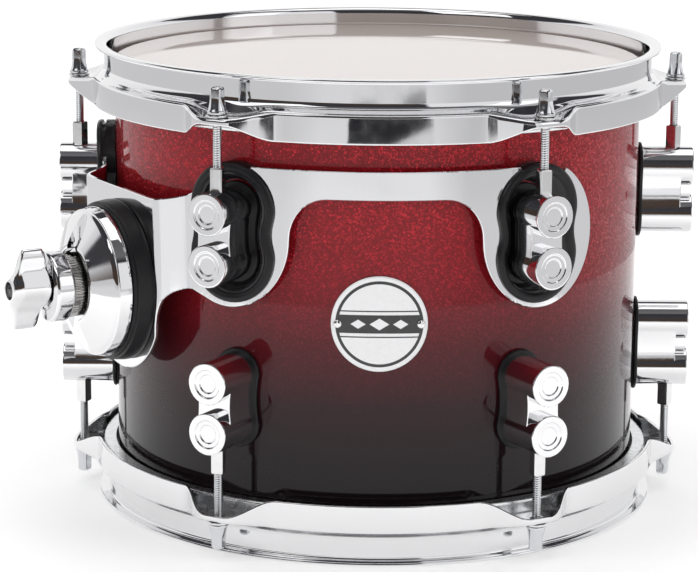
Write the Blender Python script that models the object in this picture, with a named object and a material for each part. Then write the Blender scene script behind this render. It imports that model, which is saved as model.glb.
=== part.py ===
"""Ten-inch rack tom: shell, heads, hoops, lugs, tension rods, suspension plate and rod bracket.

Metres, +Z up. The origin is the centre of the batter head's top face. The badge faces -Y.
Lengths below are in millimetres and heights are counted from the shell's mid-height.
Azimuths are in degrees from the badge, positive towards +X.
"""

import math

import bmesh
import bpy
from mathutils import Matrix, Vector

MM = 0.001
GAP = 0.3
SEGMENTS = 60

# shell and heads
SHELL_R = 126.5
SHELL_WALL = 5.6
SHELL_HALF = 101.6
BEARING_EDGE = 3.0
FILM = 0.4
COLLAR_DROP = 10.0
HEAD_TOP = SHELL_HALF + GAP + FILM
HEAD_R = SHELL_R + GAP + FILM
FLESH_IN = HEAD_R + GAP
FLESH_OUT = 133.6
FLESH_TOP = 93.0
FLESH_BOTTOM = 84.4

# hoops
RIM_TOP = 110.5
RIM_R = 136.0
RIM_THICK = 1.6
LIP_BEND = 2.0
WALL_IN = 129.9
WALL_OUT = 131.5
SHOULDER = 96.2
SKIRT_R = 137.0
SKIRT_LOW = 82.0
EAR_REACH = 12.0
EAR_TOP = 92.2
EAR_LOW = 89.2
EAR_HALF = 4.0
EAR_SPREAD = 26.0
EAR_COLUMNS = (-30, -22, -15, -11, -8, -5.2, -2.4, 2.4, 5.2, 8, 11, 15, 22)

# tension rods
ROD_CIRCLE = 144.0
ROD_R = 2.1
ROD_END = 51.0
ROD_TOP = 105.8
KEY_R = 2.8
COLLAR_R = 4.5
COLLAR_LOW = 93.8
WASHER_R = 5.0
WASHER_BORE = 2.5
EAR_BORE = 2.9
ROD_SIDES = 10
BORE_SIDES = 8
TURRET_SIDES = 16

# lugs
LUG_AZIMUTHS = (-150, -90, -30, 30, 90, 150)
LUG_HEIGHT = 38.4
TURRET_SPREAD = 11.6
TURRET_R = 9.6
TURRET_TIP = 153.5
LUG_FOOT = SHELL_R + GAP
WEB_TIP = 147.6
WEB_HALF = 9.0
WEB_WAIST = 8.3
WEB_END = 9.15
SLEEVE_R = 3.1
SLEEVE_TOP = 69.9
SLEEVE_BORE = 2.45
BORE_FLOOR = 49.5

# suspension plate and its rubber grommets
PLATE_R = 133.2
PLATE_THICK = 2.0
PLATE_TURN = 1.2
PLATE_TOP = 69.5
BRIDGE_LOW = 56.7
LOBE_AZIMUTH = 32.0
LOBE_HEIGHT = 37.5
LOBE_U = 30.3
LOBE_Z = 33.0
GROMMET_AZIMUTH = 31.0
GROMMET_HEIGHT = 38.9
GROMMET_SPREAD = 10.3
GROMMET_R = 20.1
GROMMET_LIP = 1.5
GROMMET_WAIST = 1.7
GROMMET_TIP = 135.6
GROMMET_THROAT = 12.6

# bracket
BRACKET_AZIMUTH = -60.0
BRACKET_HEIGHT = 7.2
PAD_FACE = 138.3
PAD_HALF_ANGLE = 14.5
PAD_BLEND = 5.4
PAD_LOBE = (38.5, 40.0)
PAD_LOBE_HEIGHT = 5.5
ARM_TOP = 50.3
CUSHION_R = 37.6
CUSHION_FACE = 148.2
HOUSING_R = 34.9
HOUSING_BACK = CUSHION_FACE + GAP
MOUTH_FACE = 162.6
NECK_FACE = 168.0
ROD_PASSAGE = 161.0
PASSAGE_R = 5.6
BARREL_R = 11.8
STUD_R = 3.9
WING_TIP = 194.3
WING_HALF = 19.8
WING_THICK = 5.2
WING_LEAN = 10.0
BRACKET_SIDES = 32
SMALL_SIDES = 20

# badge
BADGE_R = 21.8
BADGE_THICK = 1.2
BADGE_SCREW = 18.7


def material(name, colour, roughness, metallic):
    made = bpy.data.materials.new(name)
    made.use_nodes = True
    shader = made.node_tree.nodes["Principled BSDF"]
    shader.inputs["Base Color"].default_value = (*colour, 1.0)
    shader.inputs["Roughness"].default_value = roughness
    shader.inputs["Metallic"].default_value = metallic
    return made


def finish(mesh, name, look):
    mesh.name = name
    mesh.materials.clear()
    mesh.materials.append(look)
    mesh.shade_smooth()
    mesh.set_sharp_from_angle(angle=math.radians(35))
    return mesh


def mesh_of(bm, name, look):
    """A finished mesh in metres from a bmesh in millimetres, facing out."""
    bmesh.ops.remove_doubles(bm, verts=bm.verts, dist=0.01)
    bmesh.ops.scale(bm, vec=(MM, MM, MM), verts=bm.verts)
    bmesh.ops.recalc_face_normals(bm, faces=bm.faces)
    if bm.calc_volume(signed=True) < 0:
        bmesh.ops.reverse_faces(bm, faces=bm.faces)
    mesh = bpy.data.meshes.new(name)
    bm.to_mesh(mesh)
    bm.free()
    return finish(mesh, name, look)


def place(name, mesh, at=(0.0, 0.0, 0.0), turn=(0.0, 0.0, 0.0)):
    """One named object; at is in millimetres with its height counted from the shell's mid-height."""
    made = bpy.data.objects.new(name, mesh)
    made.location = Vector((at[0], at[1], at[2] - HEAD_TOP)) * MM
    made.rotation_euler = turn
    bpy.context.collection.objects.link(made)
    return made


def around(azimuth, radius, height=0.0):
    angle = math.radians(azimuth)
    return Vector((radius * math.sin(angle), -radius * math.cos(angle), height))


def revolve(profile, sides=SEGMENTS, radial=False):
    """A closed body of revolution from (radius, height) points; radial turns its axis to -Y."""
    bm = bmesh.new()
    rings = []
    for radius, height in profile:
        ring = []
        for i in range(sides if radius > 0 else 1):
            angle = 2 * math.pi * i / sides
            x, y = radius * math.cos(angle), radius * math.sin(angle)
            ring.append(bm.verts.new((x, -height, y) if radial else (x, y, height)))
        rings.append(ring)
    for i, one in enumerate(rings):
        two = rings[(i + 1) % len(rings)]
        if len(one) == 1 and len(two) == 1:
            continue
        for j in range(sides):
            k = (j + 1) % sides
            corners = [one[j % len(one)], one[k % len(one)], two[k % len(two)], two[j % len(two)]]
            bm.faces.new(list(dict.fromkeys(corners)))
    return bm


def loft(loops, wrap=False):
    """A closed body through loops of equal length: capped at both ends, or wrapped into a ring."""
    bm = bmesh.new()
    rows = [[bm.verts.new(point) for point in loop] for loop in loops]
    count = len(rows[0])
    spans = len(rows) if wrap else len(rows) - 1
    for i in range(spans):
        one, two = rows[i], rows[(i + 1) % len(rows)]
        for j in range(count):
            k = (j + 1) % count
            bm.faces.new((one[j], one[k], two[k], two[j]))
    if not wrap:
        bm.faces.new(rows[0])
        bm.faces.new(rows[-1])
    return bm


def cylinder(radius, low, high, sides=24, radial=False):
    return revolve(((0, low), (radius, low), (radius, high), (0, high)), sides, radial)


def moved(bm, offset=(0, 0, 0)):
    bmesh.ops.translate(bm, vec=offset, verts=bm.verts)
    return bm


def combined(base, tools, name, look):
    """base with each (bmesh, operation) of tools applied in turn, as one mesh."""
    made = place(name, mesh_of(base, name, look))
    helpers = []
    for i, (tool, operation) in enumerate(tools):
        helper = place(f"{name}_tool_{i}", mesh_of(tool, f"{name}_tool_{i}", look))
        step = made.modifiers.new(f"step_{i}", "BOOLEAN")
        step.operation = operation
        step.solver = "EXACT"
        step.object = helper
        helpers.append(helper)
    ready = made.evaluated_get(bpy.context.evaluated_depsgraph_get())
    mesh = bpy.data.meshes.new_from_object(ready)
    for helper in (*helpers, made):
        bpy.data.objects.remove(helper)
    bm = bmesh.new()
    bm.from_mesh(mesh)
    bmesh.ops.scale(bm, vec=(1 / MM, 1 / MM, 1 / MM), verts=bm.verts)
    return mesh_of(bm, name, look)


def smooth_step(low, high, value):
    share = min(1.0, max(0.0, (value - low) / (high - low)))
    return share * share * (3 - 2 * share)


def build_shell(look):
    inner, half = SHELL_R - SHELL_WALL, SHELL_HALF
    profile = (
        (SHELL_R, -half),
        (SHELL_R, half),
        (SHELL_R - 2.2, half),
        (inner, half - BEARING_EDGE),
        (inner, -half + BEARING_EDGE),
        (SHELL_R - 2.2, -half),
    )
    place("shell", mesh_of(revolve(profile), "shell", look))


def build_heads(coated, clear, metal):
    """A film with its collar and the hoop of metal at the collar's foot, once for each end."""
    top, low = HEAD_TOP, HEAD_TOP - COLLAR_DROP
    skin = (
        (0, top),
        (HEAD_R, top),
        (HEAD_R, low),
        (HEAD_R - FILM, low),
        (HEAD_R - FILM, top - FILM),
        (0, top - FILM),
    )
    ring = (
        (FLESH_IN, FLESH_BOTTOM),
        (FLESH_OUT, FLESH_BOTTOM),
        (FLESH_OUT, FLESH_TOP),
        (FLESH_IN, FLESH_TOP),
    )
    ring_mesh = mesh_of(revolve(ring), "flesh_hoop", metal)
    for side, turn, film in (("batter", 0.0, coated), ("resonant", math.pi, clear)):
        skin_mesh = mesh_of(revolve(skin), f"{side}_head", film)
        place(f"{side}_head", skin_mesh, turn=(turn, 0, 0))
        place(f"{side}_flesh_hoop", ring_mesh, turn=(turn, 0, 0))


def hoop_section(offset):
    """The hoop's section (radius, height) at an angle from the nearest lug."""
    along = abs(math.radians(offset)) * SKIRT_R
    ear = 1 - smooth_step(EAR_HALF, EAR_SPREAD, along)
    reach = SKIRT_R + EAR_REACH * ear
    low = SKIRT_LOW + (EAR_LOW - SKIRT_LOW) * (1 - smooth_step(EAR_HALF + 1, EAR_SPREAD - 2, along))
    crest = 95.0 + (EAR_TOP - 95.0) * ear
    flat = 1 - ear
    under = min(crest - RIM_THICK, 93.3)
    return (
        (WALL_IN, RIM_TOP - LIP_BEND),
        (WALL_IN + LIP_BEND, RIM_TOP),
        (RIM_R, RIM_TOP),
        (RIM_R, RIM_TOP - RIM_THICK),
        (WALL_OUT, RIM_TOP - RIM_THICK),
        (WALL_OUT, SHOULDER + 1.4),
        (135.4 + ear, crest + 0.3 * flat),
        (reach - 0.8, crest - 0.2 - 0.2 * flat),
        (reach, crest - 1.2 - 0.6 * flat),
        (reach, low),
        (reach - RIM_THICK, low),
        (reach - RIM_THICK, under),
        (134.6, under),
        (134.1, 93.3),
        (WALL_IN, 93.3),
    )


def build_hoops(look):
    columns = []
    for azimuth in LUG_AZIMUTHS:
        for offset in EAR_COLUMNS:
            section = hoop_section(offset)
            columns.append([around(azimuth + offset, radius, height) for radius, height in section])
    holes = []
    for azimuth in LUG_AZIMUTHS:
        hole = cylinder(EAR_BORE, EAR_LOW - 4, EAR_TOP + 4, BORE_SIDES)
        holes.append((moved(hole, around(azimuth, ROD_CIRCLE)), "DIFFERENCE"))
    mesh = combined(loft(columns, wrap=True), holes, "hoop", look)
    place("batter_hoop", mesh)
    place("resonant_hoop", mesh, turn=(math.pi, 0, 0))


def lug_web():
    """The web between the turrets, its sides drawn in to a waist."""
    steps = 6
    side = []
    for i in range(steps + 1):
        share = -1 + 2 * i / steps
        width = WEB_WAIST + (WEB_END - WEB_WAIST) * share * share
        side.append((width, share * WEB_HALF))
    outline = side + [(-width, height) for width, height in reversed(side)]
    loops = [[(x, -depth, z) for x, z in outline] for depth in (LUG_FOOT, WEB_TIP)]
    return moved(loft(loops), (0, 0, LUG_HEIGHT))


def turret(height):
    tip = TURRET_TIP
    profile = ((0, LUG_FOOT), (TURRET_R, LUG_FOOT), (TURRET_R, tip - 0.8), (TURRET_R - 0.8, tip), (0, tip))
    return moved(revolve(profile, TURRET_SIDES, radial=True), (0, 0, height))


def build_lugs(look):
    at_rod = (0, -ROD_CIRCLE, 0)
    tools = (
        (turret(LUG_HEIGHT - TURRET_SPREAD), "UNION"),
        (turret(LUG_HEIGHT + TURRET_SPREAD), "UNION"),
        (moved(cylinder(SLEEVE_R, LUG_HEIGHT + TURRET_SPREAD, SLEEVE_TOP, BORE_SIDES), at_rod), "UNION"),
        (moved(cylinder(SLEEVE_BORE, BORE_FLOOR, SLEEVE_TOP + 2, BORE_SIDES), at_rod), "DIFFERENCE"),
    )
    mesh = combined(lug_web(), tools, "lug", look)
    for side, flip in (("batter", 0.0), ("resonant", math.pi)):
        for number, azimuth in enumerate(LUG_AZIMUTHS, 1):
            place(f"{side}_lug_{number}", mesh, turn=(0, flip, math.radians(azimuth)))


def build_rods(look, washer_look):
    rod = (
        (0, ROD_END),
        (ROD_R - 0.4, ROD_END),
        (ROD_R, ROD_END + 0.8),
        (ROD_R, COLLAR_LOW),
        (COLLAR_R, COLLAR_LOW),
        (COLLAR_R, COLLAR_LOW + 0.9),
        (KEY_R, COLLAR_LOW + 4.2),
        (KEY_R, ROD_TOP - 1.0),
        (KEY_R - 0.9, ROD_TOP),
        (0, ROD_TOP),
    )
    low, high = EAR_TOP + GAP, COLLAR_LOW - GAP
    washer = ((WASHER_BORE, low), (WASHER_R, low), (WASHER_R, high), (WASHER_BORE, high))
    rod_mesh = mesh_of(revolve(rod, ROD_SIDES), "tension_rod", look)
    washer_mesh = mesh_of(revolve(washer, BORE_SIDES), "washer", washer_look)
    for side, flip in (("batter", 0.0), ("resonant", math.pi)):
        for number, azimuth in enumerate(LUG_AZIMUTHS, 1):
            at = around(azimuth, ROD_CIRCLE)
            place(f"{side}_tension_rod_{number}", rod_mesh, at, (flip, 0, 0))
            place(f"{side}_washer_{number}", washer_mesh, at, (flip, 0, 0))


def arc(centre, radii, start, end, steps):
    """Points (u, z) along part of an ellipse; angles in degrees from +u towards +z."""
    points = []
    for i in range(steps + 1):
        angle = math.radians(start + (end - start) * i / steps)
        points.append((centre[0] + radii[0] * math.cos(angle), centre[1] + radii[1] * math.sin(angle)))
    return points


def plate_u(azimuth):
    return math.radians(azimuth) * PLATE_R


def waist(middle, radius, spread, side):
    """Points (u, height) along the drawn-in side between a slot's round ends, down the left (side 1)."""
    points = []
    for share in (0.5, 0.0, -0.5):
        width = radius - GROMMET_WAIST * (1 - share * share) ** 2
        points.append((middle - side * width, GROMMET_HEIGHT + side * share * spread))
    return points


def cut_out(azimuth, start, end):
    """A grommet's cut-out, followed from an angle on its upper curve down round its foot to another."""
    u = plate_u(azimuth)
    radius = GROMMET_R + GAP
    high, low = GROMMET_HEIGHT + GROMMET_SPREAD, GROMMET_HEIGHT - GROMMET_SPREAD
    return (
        arc((u, high), (radius, radius), start, 180, 4)
        + waist(u, radius, GROMMET_SPREAD, 1)
        + arc((u, low), (radius, radius), 180, 360, 14)
        + waist(u, radius, GROMMET_SPREAD, -1)
        + arc((u, high), (radius, radius), 0, end, 4)
    )


def plate_outline():
    """The flat pattern of the plate, as (u, z) in millimetres, clockwise from its bridge."""
    right, left = PLATE_TURN + LOBE_AZIMUTH, PLATE_TURN - LOBE_AZIMUTH
    hole_right, hole_left = PLATE_TURN + GROMMET_AZIMUTH, PLATE_TURN - GROMMET_AZIMUTH
    mirror = 2 * BRACKET_AZIMUTH
    lobe = (LOBE_U, LOBE_Z)
    fillet = (17.5, BRIDGE_LOW - LOBE_HEIGHT)
    pad = (plate_u(BRACKET_AZIMUTH), PAD_LOBE_HEIGHT)
    arm_low = [(left - 8.7, 10.0), (left - 11.6, 8.6), (left - 13.4, 4.4), (left - 14.3, -3.0)]
    arm_high = [(left - 17.0, ARM_TOP), (left - 13.0, ARM_TOP + 0.9), (left - 10.0, ARM_TOP + 2.6)]
    points = [(plate_u(hole_right) - 9.3, PLATE_TOP)]
    points += cut_out(hole_right, 117, 47)
    points += arc((plate_u(right), LOBE_HEIGHT), lobe, 65, -180, 22)
    points += arc((plate_u(right) - LOBE_U - fillet[0], LOBE_HEIGHT), fillet, 12, 90, 6)
    points += arc((plate_u(left) + LOBE_U + fillet[0], LOBE_HEIGHT), fillet, 90, 168, 6)
    points += arc((plate_u(left), LOBE_HEIGHT), lobe, 0, -112, 12)
    points += [(plate_u(azimuth), z) for azimuth, z in arm_low]
    points += arc(pad, PAD_LOBE, -28, -152, 14)
    points += [(plate_u(mirror - azimuth), z) for azimuth, z in reversed(arm_low)]
    points += arc((plate_u(mirror - left), LOBE_HEIGHT), lobe, -68, -245, 16)
    points += cut_out(mirror - hole_left, 133, 19.5)
    points += [(plate_u(mirror - azimuth), z) for azimuth, z in reversed(arm_high)]
    points += [(plate_u(azimuth), z) for azimuth, z in arm_high]
    points += cut_out(hole_left, 160.5, 63)
    points += [(plate_u(hole_left) + 9.3, PLATE_TOP)]
    return points


def plate_front(azimuth):
    """Radius of the plate's front face: round the shell, and flat where the bracket's cushion sits."""
    off = abs(azimuth - BRACKET_AZIMUTH)
    flat = PAD_FACE / math.cos(math.radians(min(off, PAD_HALF_ANGLE)))
    return PLATE_R + (flat - PLATE_R) * (1 - smooth_step(PAD_HALF_ANGLE, PAD_HALF_ANGLE + PAD_BLEND, off))


def bend(bm, outer):
    """Wraps a flat body round the shell: x runs round it, y from 0 at the back face to 1 at the front."""
    for vert in bm.verts:
        azimuth = math.degrees(vert.co.x / PLATE_R)
        radius, thick = outer(azimuth)
        vert.co = around(azimuth, radius - thick * (1 - vert.co.y), vert.co.z)
    return bm


def flat_body(outline, first, last, step):
    """A flat slab over an outline, cut across every step so that it can be bent."""
    bm = loft([[(u, y, z) for u, z in outline] for y in (0.0, 1.0)])
    at = first
    while at < last:
        geometry = [*bm.verts, *bm.edges, *bm.faces]
        bmesh.ops.bisect_plane(bm, geom=geometry, plane_co=(at, 0, 0), plane_no=(1, 0, 0), dist=0.02)
        at += step
    bmesh.ops.triangulate(bm, faces=bm.faces)
    return bm


def build_plate(look):
    slab = flat_body(plate_outline(), plate_u(-103), plate_u(47), plate_u(3.0))
    bent = bend(slab, lambda azimuth: (plate_front(azimuth), PLATE_THICK))
    place("suspension_plate", mesh_of(bent, "suspension_plate", look))


def grommet_loop(azimuth, radius, shift, spread, reach):
    """A slot outline with round ends and a waist, wrapped round the shell at radius reach."""
    flat = []
    for side, start in ((1, 0), (-1, 180)):
        flat += arc((shift, GROMMET_HEIGHT + side * spread), (radius, radius), start, start + 180, 8)
        flat += waist(shift, radius, spread, side)
    return [around(azimuth + math.degrees(u / PLATE_R), reach, z) for u, z in flat]


def build_grommets(look):
    back, front = PLATE_R - PLATE_THICK - GAP, PLATE_R + GAP
    places = (
        ("grommet_right", PLATE_TURN + GROMMET_AZIMUTH, 30),
        ("grommet_left", PLATE_TURN - GROMMET_AZIMUTH, -30),
        ("grommet_side", 2 * BRACKET_AZIMUTH - PLATE_TURN + GROMMET_AZIMUTH, -90),
    )
    for name, azimuth, lug in places:
        shift = math.radians(lug - azimuth) * PLATE_R
        lip = GROMMET_R + GROMMET_LIP
        rows = (
            (lip, 0, GROMMET_SPREAD, LUG_FOOT),
            (lip, 0, GROMMET_SPREAD, back),
            (GROMMET_R, 0, GROMMET_SPREAD, back),
            (GROMMET_R, 0, GROMMET_SPREAD, front),
            (lip, 0, GROMMET_SPREAD, front),
            (lip - 0.5, 0, GROMMET_SPREAD, GROMMET_TIP - 0.6),
            (lip - 2.0, 0, GROMMET_SPREAD, GROMMET_TIP),
            (lip - 4.5, 0.2 * shift, GROMMET_SPREAD, GROMMET_TIP - 0.8),
            (GROMMET_THROAT, shift, TURRET_SPREAD, LUG_FOOT + 2.4),
            (GROMMET_THROAT, shift, TURRET_SPREAD, LUG_FOOT),
        )
        loops = [grommet_loop(azimuth, *row) for row in rows]
        place(name, mesh_of(loft(loops, wrap=True), name, look))


def on_bracket(name, mesh):
    turn = math.radians(BRACKET_AZIMUTH)
    return place(name, mesh, (0, 0, BRACKET_HEIGHT), (0, 0, turn))


def build_bracket(chrome, dark, rubber):
    back = PAD_FACE + GAP
    cushion = (
        (12.0, back),
        (CUSHION_R, back),
        (CUSHION_R, back + 4.5),
        (HOUSING_R + 0.6, CUSHION_FACE),
        (12.0, CUSHION_FACE),
    )
    mesh = mesh_of(revolve(cushion, BRACKET_SIDES, radial=True), "bracket_cushion", rubber)
    on_bracket("bracket_cushion", mesh)
    bore = BARREL_R + 0.4
    housing = (
        (0, HOUSING_BACK),
        (HOUSING_R, HOUSING_BACK),
        (HOUSING_R, HOUSING_BACK + 2.0),
        (HOUSING_R - 1.9, HOUSING_BACK + 5.6),
        (HOUSING_R - 3.2, HOUSING_BACK + 7.4),
        (18.6, MOUTH_FACE - 0.2),
        (17.6, MOUTH_FACE),
        (15.0, MOUTH_FACE),
        (15.0, NECK_FACE),
        (bore, NECK_FACE),
        (bore, HOUSING_BACK + 1.6),
        (0, HOUSING_BACK + 1.6),
    )
    passage = moved(cylinder(PASSAGE_R, -60, 60, SMALL_SIDES), (0, -ROD_PASSAGE, 0))
    body = revolve(housing, BRACKET_SIDES, radial=True)
    mesh = combined(body, [(passage, "DIFFERENCE")], "bracket_housing", chrome)
    on_bracket("bracket_housing", mesh)
    barrel_back = HOUSING_BACK + 4.1
    eyebolt = (
        (0, barrel_back),
        (BARREL_R - 0.8, barrel_back),
        (BARREL_R, barrel_back + 0.8),
        (BARREL_R, NECK_FACE + 0.4),
        (STUD_R, NECK_FACE + 0.4),
        (STUD_R, WING_TIP - 4.5),
        (STUD_R - 0.7, WING_TIP - 3.8),
        (0, WING_TIP - 3.8),
    )
    eye = moved(cylinder(PASSAGE_R, -30, 30, SMALL_SIDES), (0, -ROD_PASSAGE, 0))
    body = revolve(eyebolt, SMALL_SIDES, radial=True)
    mesh = combined(body, [(eye, "DIFFERENCE")], "bracket_eyebolt", dark)
    on_bracket("bracket_eyebolt", mesh)
    low, high = NECK_FACE + 0.8, NECK_FACE + 9.0
    collar = ((STUD_R + 0.4, low), (16.4, low), (16.4, high), (STUD_R + 0.4, high))
    mesh = mesh_of(revolve(collar, BRACKET_SIDES, radial=True), "bracket_collar", chrome)
    on_bracket("bracket_collar", mesh)
    build_wing_nut(high + GAP, chrome)


def build_wing_nut(foot, look):
    hub = ((0, foot), (9.2, foot), (8.2, foot + 2.0), (8.0, WING_TIP - 8.0), (5.8, WING_TIP), (0, WING_TIP))
    half = [
        (foot + 1.6, 4.0),
        (foot + 1.2, 8.0),
        (foot + 1.2, WING_HALF - 4.5),
        (foot + 2.4, WING_HALF),
        (WING_TIP - 5.0, WING_HALF + 0.6),
        (WING_TIP - 3.8, WING_HALF - 0.8),
        (WING_TIP - 2.4, 9.0),
        (WING_TIP - 1.6, 4.0),
    ]
    outline = half + [(depth, -z) for depth, z in reversed(half)]
    wings = loft([[(x, -depth, z) for depth, z in outline] for x in (-WING_THICK / 2, WING_THICK / 2)])
    lean = Matrix.Rotation(math.radians(WING_LEAN), 3, "Y")
    bmesh.ops.rotate(wings, cent=(0, 0, 0), matrix=lean, verts=wings.verts)
    bore = cylinder(STUD_R + 0.35, foot - 2, WING_TIP + 2, 12, radial=True)
    tools = ((wings, "UNION"), (bore, "DIFFERENCE"))
    mesh = combined(revolve(hub, SMALL_SIDES, radial=True), tools, "wing_nut", look)
    on_bracket("wing_nut", mesh)


def build_badge(face, screw):
    outline = arc((0, 0), (BADGE_R, BADGE_R), 0, 350, 35)
    slab = flat_body(outline, -BADGE_R + 2.0, BADGE_R, plate_u(2.5))
    radius = LUG_FOOT + BADGE_THICK
    for vert in slab.verts:
        vert.co.x *= PLATE_R / radius
    bent = bend(slab, lambda azimuth: (radius, BADGE_THICK))
    place("badge", mesh_of(bent, "badge", face))
    foot = radius + GAP
    head = ((0, foot), (1.9, foot), (1.6, foot + 0.7), (0, foot + 1.1))
    mesh = mesh_of(revolve(head, ROD_SIDES, radial=True), "badge_screw", screw)
    for name, side in (("badge_screw_left", -1), ("badge_screw_right", 1)):
        place(name, mesh, turn=(0, 0, side * BADGE_SCREW / radius))


def main():
    for thing in list(bpy.data.objects):
        bpy.data.objects.remove(thing, do_unlink=True)
    chrome = material("chrome", (0.78, 0.79, 0.80), 0.08, 1.0)
    steel = material("plated_steel", (0.62, 0.64, 0.66), 0.25, 1.0)
    aluminium = material("aluminium", (0.72, 0.72, 0.72), 0.35, 1.0)
    lacquer = material("red_fade_lacquer", (0.28, 0.012, 0.016), 0.12, 0.0)
    coated = material("coated_film", (0.86, 0.83, 0.79), 0.6, 0.0)
    clear = material("clear_film", (0.88, 0.88, 0.86), 0.15, 0.0)
    rubber = material("rubber", (0.025, 0.025, 0.027), 0.55, 0.0)
    enamel = material("badge_enamel", (0.85, 0.85, 0.86), 0.3, 0.0)
    build_shell(lacquer)
    build_heads(coated, clear, aluminium)
    build_hoops(chrome)
    build_lugs(chrome)
    build_rods(steel, steel)
    build_plate(chrome)
    build_grommets(rubber)
    build_bracket(chrome, steel, rubber)
    build_badge(enamel, steel)


main()
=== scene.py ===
"""Looks for the ten-inch rack tom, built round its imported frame.

The frame is in metres with its origin at the centre of the batter head's top face. Lengths in the
mesh code are in millimetres and heights are counted from the shell's mid-height, as in the part.
Azimuths are in degrees from the badge, positive towards +X.
"""

import math

import bmesh
import bpy
from mathutils import Matrix, Vector


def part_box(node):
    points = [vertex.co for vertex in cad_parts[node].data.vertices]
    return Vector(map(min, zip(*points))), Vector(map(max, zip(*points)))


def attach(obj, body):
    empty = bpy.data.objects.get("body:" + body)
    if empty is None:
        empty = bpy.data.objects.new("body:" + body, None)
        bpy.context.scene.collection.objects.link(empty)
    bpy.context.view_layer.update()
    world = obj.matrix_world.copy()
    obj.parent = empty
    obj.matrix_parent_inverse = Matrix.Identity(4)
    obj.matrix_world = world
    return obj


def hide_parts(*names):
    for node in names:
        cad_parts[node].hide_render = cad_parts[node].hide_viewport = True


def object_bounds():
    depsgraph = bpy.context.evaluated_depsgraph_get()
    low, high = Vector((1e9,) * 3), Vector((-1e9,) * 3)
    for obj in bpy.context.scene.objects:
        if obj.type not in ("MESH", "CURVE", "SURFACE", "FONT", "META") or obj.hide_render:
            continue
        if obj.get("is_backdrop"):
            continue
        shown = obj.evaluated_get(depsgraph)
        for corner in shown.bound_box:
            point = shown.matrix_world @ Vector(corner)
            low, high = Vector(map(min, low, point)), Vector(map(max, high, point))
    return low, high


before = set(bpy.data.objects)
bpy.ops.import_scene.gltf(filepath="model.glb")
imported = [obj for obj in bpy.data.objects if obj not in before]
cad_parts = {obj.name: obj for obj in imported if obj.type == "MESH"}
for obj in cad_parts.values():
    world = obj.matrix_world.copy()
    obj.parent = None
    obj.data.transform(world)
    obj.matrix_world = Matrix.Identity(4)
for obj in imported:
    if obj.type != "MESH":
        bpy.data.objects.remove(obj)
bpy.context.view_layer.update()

MM = 0.001
GAP = 0.3
SHELL_LOW, SHELL_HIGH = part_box("shell")
MID = (SHELL_LOW.z + SHELL_HIGH.z) / 2
SHELL_R = round(SHELL_HIGH.x / MM, 2)
SHELL_HALF = (SHELL_HIGH.z - SHELL_LOW.z) / 2 / MM
SHELL_WALL = 5.6
HEAD_TOP = (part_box("batter_head")[1].z - MID) / MM
HEAD_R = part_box("batter_head")[1].x / MM
FLESH_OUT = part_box("batter_flesh_hoop")[1].x / MM
FLESH_LOW = (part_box("batter_flesh_hoop")[0].z - MID) / MM
FLESH_TOP = (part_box("batter_flesh_hoop")[1].z - MID) / MM
FLESH_IN = HEAD_R + GAP

RIM_TOP = (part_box("batter_hoop")[1].z - MID) / MM
RIM_R = 136.0
RIM_THICK = 1.6
WALL_IN = 129.9
WALL_OUT = 131.5
SHOULDER = 96.2
SKIRT_R = 137.0
SKIRT_LOW = 82.0
EAR_REACH = 12.0
EAR_TOP = 92.2
EAR_LOW = 89.2
EAR_HALF = 4.0
EAR_SPREAD = 26.0
EAR_BORE = 2.9

ROD_CIRCLE = 144.0
ROD_R = 2.1
ROD_END = 51.0
ROD_TOP = (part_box("batter_tension_rod_3")[1].z - MID) / MM
PITCH = 25.4 / 24
COLLAR_LOW = 93.8
COLLAR_R = 4.5
WASHER_R = 5.0

LUGS = (-150, -90, -30, 30, 90, 150)
LUG_HEIGHT = 38.4
TURRET_SPREAD = 11.6
TURRET_R = 9.6
TURRET_TIP = 153.5
LUG_FOOT = SHELL_R + GAP
WEB_TIP = 147.6
WEB_HALF = 9.0
WEB_WAIST = 8.3
SLEEVE_TOP = 69.9
GASKET = 1.9

PLATE_R = 133.2
PLATE_THICK = 2.0
PLATE_TURN = 1.2
PLATE_TOP = 69.5
BRIDGE_LOW = 56.7
LOBE_AZIMUTH = 32.0
LOBE_HEIGHT = 37.5
LOBE_U = 30.3
LOBE_Z = 33.0
GROMMET_AZIMUTH = 31.0
GROMMET_HEIGHT = 38.9
GROMMET_SPREAD = 10.3
GROMMET_R = 20.1
GROMMET_LIP = 1.5
GROMMET_WAIST = 1.7
GROMMET_TIP = 135.6
GROMMET_THROAT = 12.8

BRACKET_AZIMUTH = -60.0
BRACKET_HEIGHT = 7.2
PAD_FACE = 138.3
PAD_HALF_ANGLE = 14.5
PAD_BLEND = 5.4
PAD_LOBE = (38.5, 40.0)
PAD_LOBE_HEIGHT = 5.5
ARM_TOP = 50.3
CUSHION_R = 37.6
CUSHION_FACE = 148.2
HOUSING_R = 34.9
HOUSING_BACK = CUSHION_FACE + GAP
ROD_PASSAGE = 161.0
PASSAGE_R = 5.6
BARREL_R = 11.8
STUD_R = 3.9
MOUTH_FACE = 162.6
NECK_FACE = 168.0
COLLAR_BACK = 168.8
COLLAR_FACE = 177.0
WING_FOOT = 177.3
WING_TIP = 194.3
WING_LEAN = 10.0

BADGE_R = 21.8
BADGE_THICK = 1.2
BADGE_SCREW = 18.7


# ---------------------------------------------------------------- mesh helpers


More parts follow.
